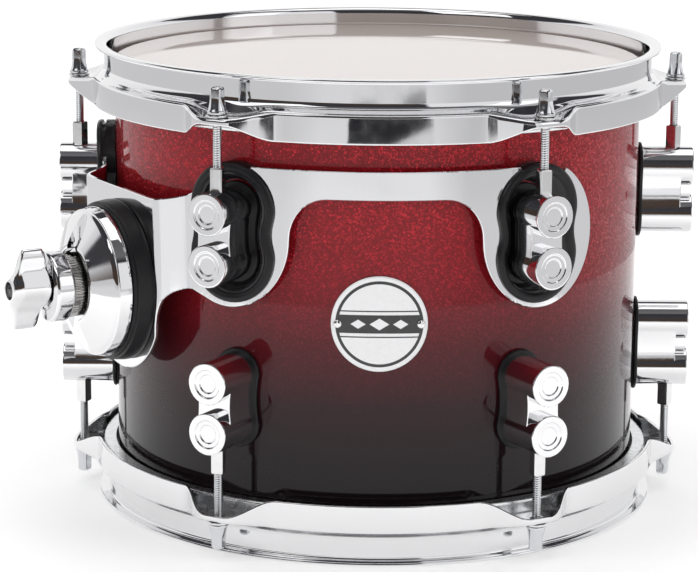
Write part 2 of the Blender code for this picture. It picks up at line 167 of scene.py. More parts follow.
def mesh_of(bm, name, *looks, angle=38, weld=0.002):
    """A finished mesh in metres from a bmesh in millimetres, facing out."""
    bmesh.ops.remove_doubles(bm, verts=bm.verts, dist=weld)
    bmesh.ops.scale(bm, vec=(MM, MM, MM), verts=bm.verts)
    bmesh.ops.recalc_face_normals(bm, faces=bm.faces)
    if bm.calc_volume(signed=True) < 0:
        bmesh.ops.reverse_faces(bm, faces=bm.faces)
    mesh = bpy.data.meshes.new(name)
    bm.to_mesh(mesh)
    bm.free()
    for look in looks:
        mesh.materials.append(look)
    mesh.shade_smooth()
    mesh.set_sharp_from_angle(angle=math.radians(angle))
    return mesh


def show(name, mesh, body, stands_for=(), at=(0, 0, 0), turn=(0, 0, 0), flat=True):
    """One piece that rides on a body and stands for CAD nodes; at is in millimetres from mid-height."""
    made = bpy.data.objects.new(name, mesh)
    made.location = (at[0] * MM, at[1] * MM, MID + at[2] * MM)
    made.rotation_euler = turn
    bpy.context.scene.collection.objects.link(made)
    if flat:
        weighted = made.modifiers.new("weighted_normals", "WEIGHTED_NORMAL")
        weighted.keep_sharp = True
    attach(made, body)
    if stands_for:
        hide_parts(*stands_for)
    return made


def around(azimuth, radius, height=0.0):
    angle = math.radians(azimuth)
    return Vector((radius * math.sin(angle), -radius * math.cos(angle), height))


def rounded(points, steps=3, closed=True, hold=0.3):
    """A polyline with its corners rounded by each point's third number, held straight on both sides of each."""
    out = []
    last = len(points) - 1
    for i, (x, y, radius) in enumerate(points):
        here = Vector((x, y))
        if not closed and i in (0, last):
            out.append((x, y))
            continue
        back = Vector(points[i - 1][:2]) - here
        ahead = Vector(points[(i + 1) % len(points)][:2]) - here
        reach = min(radius, 0.46 * back.length, 0.46 * ahead.length)
        start, end = here + back.normalized() * reach, here + ahead.normalized() * reach
        if hold:
            before = here + back.normalized() * min(reach + hold, 0.49 * back.length)
            out.append((before.x, before.y))
        for k in range(steps + 1):
            t = k / steps
            point = start * (1 - t) ** 2 + here * (2 * t * (1 - t)) + end * t * t
            out.append((point.x, point.y))
        if hold:
            after = here + ahead.normalized() * min(reach + hold, 0.49 * ahead.length)
            out.append((after.x, after.y))
    return out


def revolve(profile, sides=96, radial=False):
    """A closed body of revolution from (radius, height) points; radial turns its axis to -Y."""
    bm = bmesh.new()
    rings = []
    for radius, height in profile:
        ring = []
        for i in range(sides if radius > 1e-6 else 1):
            angle = 2 * math.pi * i / sides
            x, y = radius * math.cos(angle), radius * math.sin(angle)
            ring.append(bm.verts.new((x, -height, y) if radial else (x, y, height)))
        rings.append(ring)
    for i, one in enumerate(rings):
        two = rings[(i + 1) % len(rings)]
        if len(one) == 1 and len(two) == 1:
            continue
        for j in range(sides):
            k = (j + 1) % sides
            corners = [one[j % len(one)], one[k % len(one)], two[k % len(two)], two[j % len(two)]]
            bm.faces.new(list(dict.fromkeys(corners)))
    return bm


def loft(loops, wrap=False):
    """A closed body through loops of equal length: capped at both ends, or wrapped into a ring."""
    bm = bmesh.new()
    rows = [[bm.verts.new(point) for point in loop] for loop in loops]
    count = len(rows[0])
    for i in range(len(rows) if wrap else len(rows) - 1):
        one, two = rows[i], rows[(i + 1) % len(rows)]
        for j in range(count):
            k = (j + 1) % count
            bm.faces.new((one[j], one[k], two[k], two[j]))
    if not wrap:
        bm.faces.new(rows[0])
        bm.faces.new(rows[-1])
    return bm


def cylinder(radius, low, high, sides=32, radial=False):
    return revolve(((0, low), (radius, low), (radius, high), (0, high)), sides, radial)


def moved(bm, offset=(0, 0, 0)):
    bmesh.ops.translate(bm, vec=offset, verts=bm.verts)
    return bm


def combined(base, tools, name, *looks, angle=38):
    """base with each (bmesh, operation) of tools applied in turn, as one mesh."""
    made = bpy.data.objects.new(name, mesh_of(base, name))
    bpy.context.scene.collection.objects.link(made)
    helpers = []
    for i, (tool, operation) in enumerate(tools):
        helper = bpy.data.objects.new(f"{name}_tool_{i}", mesh_of(tool, f"{name}_tool_{i}"))
        bpy.context.scene.collection.objects.link(helper)
        step = made.modifiers.new(f"step_{i}", "BOOLEAN")
        step.operation = operation
        step.solver = "EXACT"
        step.object = helper
        helpers.append(helper)
    ready = made.evaluated_get(bpy.context.evaluated_depsgraph_get())
    mesh = bpy.data.meshes.new_from_object(ready)
    for helper in (*helpers, made):
        bpy.data.objects.remove(helper)
    bm = bmesh.new()
    bm.from_mesh(mesh)
    bmesh.ops.scale(bm, vec=(1 / MM, 1 / MM, 1 / MM), verts=bm.verts)
    return mesh_of(bm, name, *looks, angle=angle)


def smooth_step(low, high, value):
    share = min(1.0, max(0.0, (value - low) / (high - low)))
    return share * share * (3 - 2 * share)


# ---------------------------------------------------------------- materials


class Look:
    """A node material, with short calls for adding and joining nodes."""

    def __init__(self, name, colour, roughness, metallic=0.0, **sockets):
        self.made = bpy.data.materials.new(name)
        self.made.use_nodes = True
        self.tree = self.made.node_tree
        self.shader = self.tree.nodes["Principled BSDF"]
        values = {"Base Color": (*colour, 1.0), "Roughness": roughness, "Metallic": metallic}
        for socket, value in {**values, **sockets}.items():
            self.shader.inputs[socket].default_value = value
        self.place = self.node("TexCoord").outputs["Object"]

    def node(self, kind, inputs=None, **settings):
        made = self.tree.nodes.new("ShaderNode" + kind)
        for key, value in settings.items():
            setattr(made, key, value)
        for key, value in (inputs or {}).items():
            if isinstance(value, bpy.types.NodeSocket):
                self.tree.links.new(value, made.inputs[key])
            else:
                made.inputs[key].default_value = value
        return made

    def feed(self, socket, value):
        self.tree.links.new(value, self.shader.inputs[socket])

    def stretched(self, x, y, z):
        mapping = self.node("Mapping", {"Vector": self.place, "Scale": (x, y, z)})
        return mapping.outputs["Vector"]

    def noise(self, scale, detail=3.0, roughness=0.5, where=None):
        inputs = {"Vector": where or self.place, "Scale": scale, "Detail": detail, "Roughness": roughness}
        return self.node("TexNoise", inputs).outputs["Fac"]

    def ramp(self, value, *stops, kind="LINEAR"):
        made = self.node("ValToRGB", {"Fac": value})
        ramp = made.color_ramp
        ramp.interpolation = kind
        while len(ramp.elements) < len(stops):
            ramp.elements.new(0.5)
        for element, (position, colour) in zip(ramp.elements, stops):
            element.position = position
            element.color = colour if len(colour) == 4 else (*colour, 1.0)
        return made.outputs["Color"]

    def span(self, value, low, high, start=0.0, end=1.0):
        inputs = {"Value": value, "From Min": low, "From Max": high, "To Min": start, "To Max": end}
        return self.node("MapRange", inputs).outputs["Result"]

    def maths(self, operation, *values):
        made = self.node("Math", dict(enumerate(values)), operation=operation)
        return made.outputs["Value"]

    def mix(self, share, one, two):
        made = self.node("Mix", data_type="RGBA")
        for index, value in ((0, share), (6, one), (7, two)):
            if isinstance(value, bpy.types.NodeSocket):
                self.tree.links.new(value, made.inputs[index])
            else:
                made.inputs[index].default_value = value if index == 0 else (*value, 1.0)
        return made.outputs[2]

    def bump(self, height, strength, distance, normal=None):
        inputs = {"Height": height, "Strength": strength, "Distance": distance}
        if normal is not None:
            inputs["Normal"] = normal
        return self.node("Bump", inputs).outputs["Normal"]


def chrome_look(name="chrome", tint=(0.82, 0.82, 0.83), low=0.035, high=0.1, wave=0.35):
    """Polished plate: faint smears in its gloss, hairline scratches, and the casting's slow waviness."""
    look = Look(name, tint, low, 1.0)
    smear = look.noise(55, 4, 0.6)
    fine = look.noise(900, 2, 0.5, look.stretched(1, 1, 0.12))
    gloss = look.maths("MULTIPLY", look.span(smear, 0.35, 0.75), look.span(fine, 0.3, 0.7, 0.55, 1.0))
    look.feed("Roughness", look.span(gloss, 0.0, 1.0, low, high))
    look.feed("Base Color", look.mix(smear, tint, tuple(0.965 * c for c in tint)))
    slow = look.bump(look.noise(38, 1, 0.4), wave, 0.00045)
    look.feed("Normal", look.bump(fine, 0.05, 0.00002, slow))
    return look.made


def steel_look(name, tint, roughness, scale=700):
    """Bright zinc or nickel plate, with a fine grain and a cloudy variation."""
    look = Look(name, tint, roughness, 1.0)
    cloud = look.noise(260, 4, 0.6)
    grain = look.noise(scale, 2, 0.5, look.stretched(1, 1, 0.2))
    look.feed("Roughness", look.span(cloud, 0.3, 0.7, 0.75 * roughness, 1.35 * roughness))
    look.feed("Base Color", look.mix(cloud, tint, tuple(0.92 * c for c in tint)))
    look.feed("Normal", look.bump(grain, 0.05, 0.00002))
    return look.made


def lacquer_look():
    """Red sparkle under clear gloss, fading through dark red to black near the foot of the shell."""
    look = Look("red_fade_lacquer", (0.3, 0.01, 0.012), 0.32, 0.0)
    look.shader.inputs["Coat Weight"].default_value = 1.0
    look.shader.inputs["Coat Roughness"].default_value = 0.03
    look.shader.inputs["Coat IOR"].default_value = 1.34
    look.shader.inputs["Specular IOR Level"].default_value = 0.02
    parts = look.node("SeparateXYZ", {"Vector": look.place})
    height = look.maths("ADD", parts.outputs["Z"], look.span(look.noise(30, 2), 0, 1, -0.004, 0.004))
    share = look.span(height, -0.1, 0.1)
    fade = look.ramp(
        share,
        (0.0, (0.006, 0.004, 0.005)),
        (0.16, (0.0075, 0.0045, 0.0055)),
        (0.30, (0.02, 0.0055, 0.0075)),
        (0.44, (0.072, 0.006, 0.009)),
        (0.60, (0.18, 0.007, 0.011)),
        (0.80, (0.225, 0.008, 0.012)),
        (1.0, (0.225, 0.009, 0.013)),
    )
    flakes = look.node("TexVoronoi", {"Vector": look.place, "Scale": 1500.0, "Randomness": 1.0})
    pick = look.node("SeparateColor", {"Color": flakes.outputs["Color"]})
    clump = look.span(look.noise(420, 3, 0.6), 0.3, 0.7, 0.7, 1.3)
    glint = look.maths("MULTIPLY", look.span(pick.outputs["Red"], 0.55, 1.0, 0.0, 1.0), clump)
    strength = look.ramp(share, (0.12, (0.0, 0.0, 0.0)), (0.45, (0.35, 0.35, 0.35)), (0.72, (1.0, 1.0, 1.0)))
    spark = look.maths("MULTIPLY", glint, strength)
    bright = look.mix(spark, (1.0, 1.0, 1.0), (2.5, 2.8, 3.0))
    colour = look.node("Mix", data_type="RGBA", blend_type="MULTIPLY")
    colour.inputs[0].default_value = 1.0
    look.tree.links.new(fade, colour.inputs[6])
    look.tree.links.new(bright, colour.inputs[7])
    look.feed("Base Color", colour.outputs[2])
    look.feed("Metallic", look.maths("MULTIPLY", spark, 0.85))
    tilt = look.node("VectorMath", {0: flakes.outputs["Color"], 1: (0.5, 0.5, 0.5)}, operation="SUBTRACT")
    sway = look.maths("MULTIPLY", strength, 0.5)
    lean = look.node("VectorMath", {0: tilt.outputs["Vector"], 3: sway}, operation="SCALE")
    normal = look.node("NewGeometry").outputs["Normal"]
    turned = look.node("VectorMath", {0: normal, 1: lean.outputs["Vector"]}, operation="ADD")
    unit = look.node("VectorMath", {0: turned.outputs["Vector"]}, operation="NORMALIZE")
    look.feed("Normal", unit.outputs["Vector"])
    peel = look.bump(look.noise(330, 2, 0.4), 0.05, 0.00008)
    look.feed("Coat Normal", look.bump(look.noise(24, 1, 0.3), 0.12, 0.0004, peel))
    return look.made


def maple_look():
    look = Look("bare_maple", (0.66, 0.46, 0.27), 0.5)
    grain = look.noise(90, 5, 0.65, look.stretched(1, 1, 0.09))
    pores = look.noise(900, 2, 0.5, look.stretched(1, 1, 0.05))
    colour = look.ramp(grain, (0.3, (0.52, 0.33, 0.17)), (0.5, (0.66, 0.46, 0.27)), (0.72, (0.74, 0.56, 0.36)))
    look.feed("Base Color", colour)
    look.feed("Roughness", look.span(grain, 0.3, 0.7, 0.42, 0.6))
    look.feed("Normal", look.bump(pores, 0.25, 0.0001))
    return look.made


def film_look():
    """White coated head: a fine sprayed tooth over polyester film."""
    look = Look("coated_film", (0.73, 0.63, 0.58), 0.5)
    look.shader.inputs["Coat Weight"].default_value = 1.0
    look.shader.inputs["Coat Roughness"].default_value = 0.04
    tooth = look.noise(1100, 3, 0.7)
    cloud = look.noise(16, 3, 0.5)
    look.feed("Base Color", look.mix(cloud, (0.745, 0.65, 0.605), (0.70, 0.60, 0.55)))
    look.feed("Roughness", look.span(tooth, 0.3, 0.7, 0.42, 0.62))
    look.feed("Normal", look.bump(tooth, 0.22, 0.00006))
    return look.made


def clear_film_look():
    look = Look("clear_film", (0.93, 0.93, 0.91), 0.08)
    look.shader.inputs["Transmission Weight"].default_value = 0.85
    look.shader.inputs["IOR"].default_value = 1.2
    haze = look.noise(45, 4, 0.6)
    look.feed("Roughness", look.span(haze, 0.3, 0.7, 0.05, 0.2))
    look.feed("Normal", look.bump(look.noise(20, 1, 0.4), 0.1, 0.0003))
    return look.made


def rubber_look(name, roughness, tint=(0.018, 0.018, 0.019)):
    look = Look(name, tint, roughness)
    look.shader.inputs["Specular IOR Level"].default_value = 0.3
    bloom = look.noise(70, 5, 0.65)
    tooth = look.noise(1300, 3, 0.6)
    look.feed("Base Color", look.mix(bloom, tint, tuple(1.9 * c for c in tint)))
    look.feed("Roughness", look.span(bloom, 0.3, 0.7, 0.8 * roughness, 1.25 * roughness))
    look.feed("Normal", look.bump(tooth, 0.2, 0.00008))
    return look.made


def badge_look():
    """White enamel disc with a dark ring and a dark band that carries three plain lozenges."""
    look = Look("badge_enamel", (0.82, 0.82, 0.83), 0.28, 0.0)
    look.shader.inputs["Coat Weight"].default_value = 0.5
    look.shader.inputs["Coat Roughness"].default_value = 0.08
    parts = look.node("SeparateXYZ", {"Vector": look.place})
    x, z = parts.outputs["X"], parts.outputs["Z"]
    radius = look.maths("SQRT", look.maths("ADD", look.maths("MULTIPLY", x, x), look.maths("MULTIPLY", z, z)))

    def inside(value, low, high, edge=0.00008):
        rise = look.span(value, low - edge, low + edge)
        return look.maths("MULTIPLY", rise, look.span(value, high - edge, high + edge, 1.0, 0.0))

    ring = inside(radius, 0.0183, 0.0197)
    disc = inside(radius, -1.0, 0.0186)
    band = look.maths("MULTIPLY", inside(z, -0.0042, 0.0042), disc)
    lines = look.maths("MULTIPLY", inside(look.maths("ABSOLUTE", z), 0.0056, 0.0062), disc)
    dark = look.maths("MAXIMUM", look.maths("MAXIMUM", ring, band), lines)
    marks = None
    for centre, reach in ((-0.0095, 0.0021), (0.0, 0.0027), (0.0095, 0.0021)):
        across = look.maths("ABSOLUTE", look.maths("SUBTRACT", x, centre))
        span = look.maths("ADD", look.maths("MULTIPLY", across, 0.62), look.maths("ABSOLUTE", z))
        mark = look.span(span, reach - 0.0001, reach + 0.0001, 1.0, 0.0)
        marks = mark if marks is None else look.maths("MAXIMUM", marks, mark)
    dark = look.maths("SUBTRACT", dark, look.maths("MULTIPLY", marks, band))
    wear = look.noise(180, 4, 0.6)
    white = look.mix(wear, (0.84, 0.84, 0.85), (0.78, 0.78, 0.79))
    tint = look.node("Mix", data_type="RGBA")
    for index, value in ((0, dark), (6, white)):
        look.tree.links.new(value, tint.inputs[index])
    tint.inputs[7].default_value = (0.012, 0.012, 0.014, 1.0)
    look.feed("Base Color", tint.outputs[2])
    look.feed("Roughness", look.span(wear, 0.3, 0.7, 0.2, 0.34))
    look.feed("Normal", look.bump(dark, 0.35, 0.00006))
    return look.made


# ---------------------------------------------------------------- shell, heads, hoops


def build_shell(lacquer, maple):
    inner, half = SHELL_R - SHELL_WALL, SHELL_HALF
    profile = rounded(
        (
            (SHELL_R, -half, 0.9),
            (SHELL_R, half, 0.9),
            (SHELL_R - 2.2, half, 0.5),
            (inner, half - 3.0, 0.6),
            (inner, -half + 3.0, 0.6),
            (SHELL_R - 2.2, -half, 0.5),
        )
    )
    mesh = mesh_of(revolve(profile, 192), "shell", lacquer, maple, angle=30)
    for face in mesh.polygons:
        middle = face.center
        outside = math.hypot(middle.x, middle.y) > (SHELL_R - 0.5) * MM
        face.material_index = 0 if outside and abs(middle.z) < (half - 0.4) * MM else 1
    show("drum_shell", mesh, "drum", ["shell"])


def build_heads(coated, clear, metal):
    top, low = HEAD_TOP, HEAD_TOP - 10.0
    film = 0.38
    outer = ((0, top, 0), (HEAD_R, top, 1.3), (HEAD_R, low, 0.1), (HEAD_R - film, low, 0.1))
    inner = ((HEAD_R - film, top - film, 1.0), (0, top - film, 0))
    skin = rounded(outer + inner, 5)
    skin = [(max(0.0, radius), height) for radius, height in skin]
    crease = [point for point in skin if point[0] > 0.01]
    spokes = [(0.0, top)] + [(share * (HEAD_R - 2), top) for share in (0.3, 0.6, 0.85)]
    back = [(share * (HEAD_R - 2), top - film) for share in (0.85, 0.6, 0.3)] + [(0.0, top - film)]
    profile = spokes + [p for p in crease if p[0] > HEAD_R - 1.9] + back
    wall = 1.1
    ring = rounded(
        (
            (FLESH_IN, FLESH_LOW, 0.5),
            (FLESH_OUT, FLESH_LOW, 1.2),
            (FLESH_OUT, FLESH_TOP, 0.9),
            (FLESH_OUT - wall, FLESH_TOP, 0.4),
            (FLESH_OUT - wall, FLESH_LOW + 4.2, 0.8),
            (FLESH_IN + wall, FLESH_LOW + 4.2, 0.8),
            (FLESH_IN + wall, FLESH_TOP, 0.4),
            (FLESH_IN, FLESH_TOP, 0.4),
        )
    )
    ring_mesh = mesh_of(revolve(ring, 160), "flesh_ring", metal)
    for side, turn, look, slot in (
        ("batter", 0.0, coated, "coated_film"),
        ("resonant", math.pi, clear, "clear_film"),
    ):
        skin_mesh = mesh_of(revolve(profile, 160), f"{side}_film", look, angle=60)
        show(f"{side}_film", skin_mesh, "drum", [f"{side}_head"], turn=(turn, 0, 0))
        show(f"{side}_flesh_ring", ring_mesh, "drum", [f"{side}_flesh_hoop"], turn=(turn, 0, 0))


def hoop_section(offset):
    """The hoop's section (radius, height) at an angle from the nearest lug."""
    along = abs(math.radians(offset)) * SKIRT_R
    ear = 1 - smooth_step(EAR_HALF, EAR_SPREAD, along)
    reach = SKIRT_R + EAR_REACH * ear
    low = SKIRT_LOW + (EAR_LOW - SKIRT_LOW) * (1 - smooth_step(EAR_HALF + 1, EAR_SPREAD - 2, along))
    crest = 95.0 + (EAR_TOP - 95.0) * ear
    flat = 1 - ear
    under = min(crest - RIM_THICK, 93.3)
    return rounded(
        (
            (WALL_IN, RIM_TOP, 2.6),
            (RIM_R, RIM_TOP, 0.75),
            (RIM_R, RIM_TOP - RIM_THICK, 0.75),
            (WALL_OUT, RIM_TOP - RIM_THICK, 0.9),
            (WALL_OUT, SHOULDER + 1.4, 1.8),
            (135.4 + ear, crest + 0.3 * flat, 1.6),
            (reach, crest - 0.1 * flat, 1.3 + 0.5 * flat),
            (reach, low, 0.55),
            (reach - RIM_THICK, low, 0.4),
            (reach - RIM_THICK, under, 0.8),
            (134.7, under, 0.2),
            (134.1, 93.3, 0.3),
            (WALL_IN, 93.3, 0.5),
        ),
        3,
    )


def build_hoops(look):
    fine = [step * 0.75 for step in range(-14, 14)]
    coarse = [10.5 + step * 1.5 for step in range(26)]
    columns = []
    for azimuth in LUGS:
        for offset in fine + coarse:
            near = offset if offset <= 30 else offset - 60
            columns.append([around(azimuth + offset, radius, height) for radius, height in hoop_section(near)])
    holes = []
    for azimuth in LUGS:
        hole = cylinder(EAR_BORE, EAR_LOW - 4, EAR_TOP + 2, 24)
        holes.append((moved(hole, around(azimuth, ROD_CIRCLE)), "DIFFERENCE"))
    mesh = combined(loft(columns, wrap=True), holes, "hoop", look, angle=42)
    show("batter_rim_hoop", mesh, "drum", ["batter_hoop"])
    show("resonant_rim_hoop", mesh, "drum", ["resonant_hoop"], turn=(math.pi, 0, 0))


# ---------------------------------------------------------------- lugs and rods


def peanut(grow, half, count=10):
    """Outline (x, z) of the lug's body: two round ends joined by sides drawn in to a waist."""
    radius = TURRET_R + grow
    reach = WEB_WAIST + grow
    spread = TURRET_SPREAD
    points = []
    for sign, start in ((1, 0), (-1, 180)):
        for i in range(count + 1):
            angle = math.radians(start + 180 * i / count)
            points.append((radius * math.cos(angle), sign * spread + radius * math.sin(angle)))
        side = -1 if sign == 1 else 1
        for i in range(1, half):
            share = 1 - 2 * i / half
            width = reach + (radius - reach) * share * share
            points.append((side * width, sign * share * spread))
    return points


def turret(height):
    tip, foot = TURRET_TIP, LUG_FOOT + GASKET
    profile = rounded(
        (
            (0, foot, 0),
            (TURRET_R, foot, 0.1),
            (TURRET_R, tip, 0.55),
            (6.6, tip - 0.1, 0.15),
            (6.2, tip - 0.6, 0.15),
            (4.4, tip - 0.65, 0.15),
            (4.0, tip - 1.1, 0.15),
            (0, tip - 1.1, 0),
        ),
        3,
        closed=False,
    )
    return moved(revolve(profile, 56, radial=True), (0, 0, height))


def lug_body():
    """The body behind the discs, with its front edge rounded."""
    rows = ((0.0, LUG_FOOT + GASKET), (-0.05, WEB_TIP - 0.6), (-0.2, WEB_TIP - 0.2), (-0.6, WEB_TIP))
    loops = [[(x, -depth, LUG_HEIGHT + z) for x, z in peanut(grow - 0.06, 10)] for grow, depth in rows]
    return loft(loops)


def build_lugs(look, rubber, sleeve_look):
    tools = [(turret(LUG_HEIGHT - TURRET_SPREAD), "UNION"), (turret(LUG_HEIGHT + TURRET_SPREAD), "UNION")]
    bore = moved(cylinder(2.7, 52.0, 80.0, 24), (0, -ROD_CIRCLE, 0))
    lug = combined(lug_body(), [*tools, (bore, "DIFFERENCE")], "lug", look, angle=32)
    gasket_rows = (
        (1.5, LUG_FOOT + 0.02),
        (2.0, LUG_FOOT + 0.5),
        (2.0, LUG_FOOT + GASKET - 0.5),
        (1.6, LUG_FOOT + GASKET - 0.02),
    )
    loops = [[(x, -depth, LUG_HEIGHT + z) for x, z in peanut(grow, 10)] for grow, depth in gasket_rows]
    gasket = mesh_of(loft(loops), "gasket", rubber)
    sleeve_rows = (
        (2.2, SLEEVE_TOP - 13.5),
        (2.85, SLEEVE_TOP - 13.0),
        (2.85, SLEEVE_TOP - 0.5),
        (2.6, SLEEVE_TOP),
        (2.28, SLEEVE_TOP),
        (2.28, SLEEVE_TOP - 13.5),
    )
    loops = []
    for row, (half, height) in enumerate(sleeve_rows):
        power = 2.0 if row > 3 else 9.0
        loops.append(squared(half, height, power, 32))
    sleeve = mesh_of(loft(loops, wrap=True), "swivel_nut", sleeve_look)
    for side, flip, sign in (("batter", 0.0, 1), ("resonant", math.pi, -1)):
        for number, azimuth in enumerate(LUGS, 1):
            turn = (0, flip, math.radians(azimuth))
            node = f"{side}_lug_{number}"
            show(f"{side}_lug_casting_{number}", lug, "drum", [node], turn=turn)
            show(f"{side}_lug_gasket_{number}", gasket, "drum", turn=turn)
            nut_turn = math.radians(azimuth * 0.45 + 40 * number % 17)
            show(
                f"{side}_swivel_nut_{number}",
                sleeve,
                "drum",
                at=around(azimuth, ROD_CIRCLE),
                turn=(flip, 0, nut_turn),
            )


def squared(half, height, power, count=40):
    """A loop between a circle, power 2, and a square with rounded corners."""
    points = []
    for i in range(count):
        angle = 2 * math.pi * i / count
        c, s = math.cos(angle), math.sin(angle)
        radius = half / (abs(c) ** power + abs(s) ** power) ** (1 / power)
        points.append((radius * c, radius * s, height))
    return points


def rod_mesh(look):
    """A threaded rod with a square key head that flares into its round flange."""
    sides = 20
    loops = [[(0.2 * math.cos(a), 0.2 * math.sin(a), ROD_END) for a in angles(sides)]]
    per_turn = 5
    thread_top = COLLAR_LOW - 3.2
    count = int((thread_top - ROD_END - 1.0) / PITCH * per_turn)
    loops.append([(1.55 * math.cos(a), 1.55 * math.sin(a), ROD_END) for a in angles(sides)])
    for i in range(count + 1):
        height = ROD_END + 0.8 + i * PITCH / per_turn
        fade = min(1.0, i / 6, (count - i) / 6)
        loop = []
        for a in angles(sides):
            phase = (i / per_turn - a / (2 * math.pi)) % 1.0
            radius = ROD_R - 0.33 * fade * abs(2 * phase - 1) ** 1.2 - 0.12 * (1 - fade)
            loop.append((radius * math.cos(a), radius * math.sin(a), height))
        loops.append(loop)
    for radius, height in ((ROD_R - 0.1, thread_top + 0.4), (ROD_R - 0.1, COLLAR_LOW - 0.02)):
        loops.append([(radius * math.cos(a), radius * math.sin(a), height) for a in angles(sides)])
    bm = loft(loops)
    head = [
        squared(ROD_R - 0.1, COLLAR_LOW, 2.0),
        squared(COLLAR_R - 0.25, COLLAR_LOW, 2.0),
        squared(COLLAR_R, COLLAR_LOW + 0.25, 2.0),
        squared(COLLAR_R, COLLAR_LOW + 1.2, 2.0),
        squared(COLLAR_R - 0.2, COLLAR_LOW + 1.5, 2.0),
        squared(COLLAR_R - 0.45, COLLAR_LOW + 1.7, 2.0),
        squared(3.75, COLLAR_LOW + 2.9, 2.1),
        squared(3.35, COLLAR_LOW + 4.1, 2.5),
        squared(3.02, COLLAR_LOW + 5.2, 3.2),
        squared(2.8, COLLAR_LOW + 6.2, 4.4),
        squared(2.7, COLLAR_LOW + 7.2, 5.5),
        squared(2.66, ROD_TOP - 1.4, 5.5),
        squared(2.5, ROD_TOP - 0.6, 4.5),
        squared(2.0, ROD_TOP - 0.15, 3.2),
        squared(1.2, ROD_TOP, 2.4),
    ]
    top = loft(head)
    spare = bpy.data.meshes.new("rod_head")
    top.to_mesh(spare)
    top.free()
    bm.from_mesh(spare)
    bpy.data.meshes.remove(spare)
    return mesh_of(bm, "tension_rod", look, angle=50)


def angles(sides):
    return [2 * math.pi * i / sides for i in range(sides)]


def build_rods(look, washer_look):
    low, high = EAR_TOP + 0.2, COLLAR_LOW - 0.25
    washer = rounded(((2.4, low, 0.2), (WASHER_R, low, 0.35), (WASHER_R, high, 0.35), (2.4, high, 0.2)))
    washer_mesh = mesh_of(revolve(washer, 40), "washer", washer_look)
    rod = rod_mesh(look)
    for side, flip in (("batter", 0.0), ("resonant", math.pi)):
        for number, azimuth in enumerate(LUGS, 1):
            at = around(azimuth, ROD_CIRCLE)
            node = f"{side}_tension_rod_{number}"
            turn = (flip, 0, math.radians(azimuth + 31 * number))
            show(f"{side}_key_rod_{number}", rod, f"{side}_rod_{number}", [node], at, turn)
            node = f"{side}_washer_{number}"
            show(f"{side}_rod_washer_{number}", washer_mesh, node, [node], at, (flip, 0, 0))


# ---------------------------------------------------------------- suspension plate


def arc(centre, radii, start, end, steps):
    points = []
    for i in range(steps + 1):
        angle = math.radians(start + (end - start) * i / steps)
        points.append((centre[0] + radii[0] * math.cos(angle), centre[1] + radii[1] * math.sin(angle)))
    return points


def plate_u(azimuth):
    return math.radians(azimuth) * PLATE_R


def waist(middle, radius, spread, side, steps=9):
    """Points (u, height) along the drawn-in side between a slot's round ends, down the left (side 1)."""
    points = []
    for i in range(1, steps):
        share = 1 - 2 * i / steps
        width = radius - GROMMET_WAIST * (1 - share * share) ** 2
        points.append((middle - side * width, GROMMET_HEIGHT + side * share * spread))
    return points


def cut_out(azimuth, start, end):
    """A grommet's cut-out, followed from an angle on its upper curve down round its foot to another."""
    u = plate_u(azimuth)
    radius = GROMMET_R + 0.1
    high, low = GROMMET_HEIGHT + GROMMET_SPREAD, GROMMET_HEIGHT - GROMMET_SPREAD
    return (
        arc((u, high), (radius, radius), start, 180, 9)
        + waist(u, radius, GROMMET_SPREAD, 1)
        + arc((u, low), (radius, radius), 180, 360, 36)
        + waist(u, radius, GROMMET_SPREAD, -1)
        + arc((u, high), (radius, radius), 0, end, 9)
    )


def plate_outline():
    """The flat pattern of the plate, as (u, z) in millimetres, clockwise from its bridge."""
    right, left = PLATE_TURN + LOBE_AZIMUTH, PLATE_TURN - LOBE_AZIMUTH
    hole_right, hole_left = PLATE_TURN + GROMMET_AZIMUTH, PLATE_TURN - GROMMET_AZIMUTH
    mirror = 2 * BRACKET_AZIMUTH
    lobe = (LOBE_U, LOBE_Z)
    fillet = (17.5, BRIDGE_LOW - LOBE_HEIGHT)
    pad = (plate_u(BRACKET_AZIMUTH), PAD_LOBE_HEIGHT)
    arm_low = [(left - 8.7, 10.0), (left - 10.2, 9.7), (left - 11.6, 8.6), (left - 12.6, 6.8)]
    arm_low += [(left - 13.4, 4.4), (left - 13.9, 1.2), (left - 14.3, -3.0), (left - 14.55, -8.0)]
    arm_high = [(left - 17.0, ARM_TOP), (left - 15.0, ARM_TOP + 0.3), (left - 13.0, ARM_TOP + 0.9)]
    arm_high += [(left - 11.4, ARM_TOP + 1.6), (left - 10.0, ARM_TOP + 2.6)]
    points = [(plate_u(hole_right) - 9.3, PLATE_TOP)]
    points += cut_out(hole_right, 117, 47)
    points += arc((plate_u(right), LOBE_HEIGHT), lobe, 65, -180, 66)
    points += arc((plate_u(right) - LOBE_U - fillet[0], LOBE_HEIGHT), fillet, 12, 90, 16)
    points += arc((plate_u(left) + LOBE_U + fillet[0], LOBE_HEIGHT), fillet, 90, 168, 16)
    points += arc((plate_u(left), LOBE_HEIGHT), lobe, 0, -112, 34)
    points += [(plate_u(azimuth), z) for azimuth, z in arm_low]
    points += arc(pad, PAD_LOBE, -28, -152, 40)
    points += [(plate_u(mirror - azimuth), z) for azimuth, z in reversed(arm_low)]
    points += arc((plate_u(mirror - left), LOBE_HEIGHT), lobe, -68, -245, 46)
    points += cut_out(mirror - hole_left, 133, 19.5)
    points += [(plate_u(mirror - azimuth), z) for azimuth, z in reversed(arm_high)]
    points += [(plate_u(azimuth), z) for azimuth, z in arm_high]
    points += cut_out(hole_left, 160.5, 63)
    points += [(plate_u(hole_left) + 9.3, PLATE_TOP)]
    return spaced(points, 1.3)


